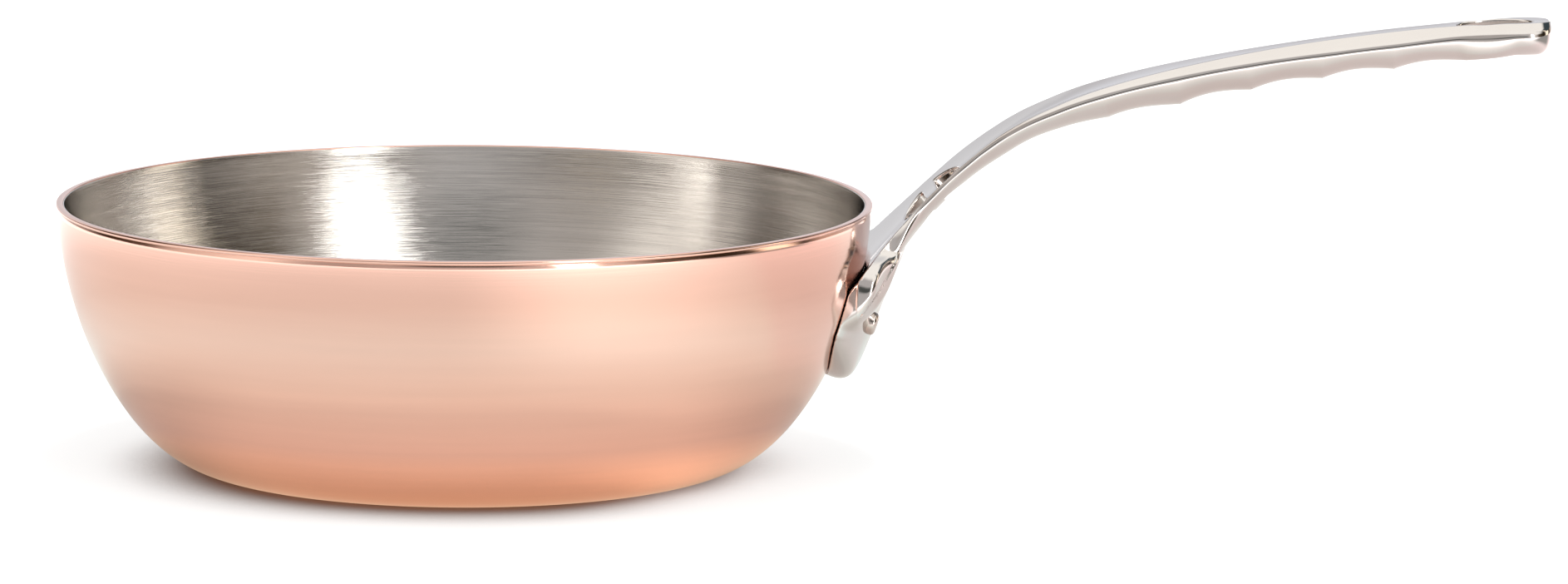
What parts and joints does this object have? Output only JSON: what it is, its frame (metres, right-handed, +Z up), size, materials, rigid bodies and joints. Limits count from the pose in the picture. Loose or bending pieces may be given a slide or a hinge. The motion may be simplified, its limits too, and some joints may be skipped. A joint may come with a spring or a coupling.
{
  "type": "saucepan",
  "caption": "Saucepan with rounded, outward-sloping copper walls, a steel lining and a long cast handle with a hanging hole, held by rivets.",
  "frame": {"origin": "centre of the flat base, on the surface that the pan stands on", "axes": "+X from the pan's axis along the handle, +Z up, +Y to the left of +X seen from above"},
  "size_m": [0.4393, 0.24, 0.1325],
  "materials": {
    "copper": "polished copper",
    "lining_steel": "brushed in rings",
    "cast_steel": "mirror polished",
    "rivet_steel": "polished"
  },
  "bodies": {
    "root": {"copper_shell": "copper", "steel_lining": "lining_steel", "handle": "cast_steel", "left_rivet": "rivet_steel", "right_rivet": "rivet_steel"}
  },
  "joints": []
}
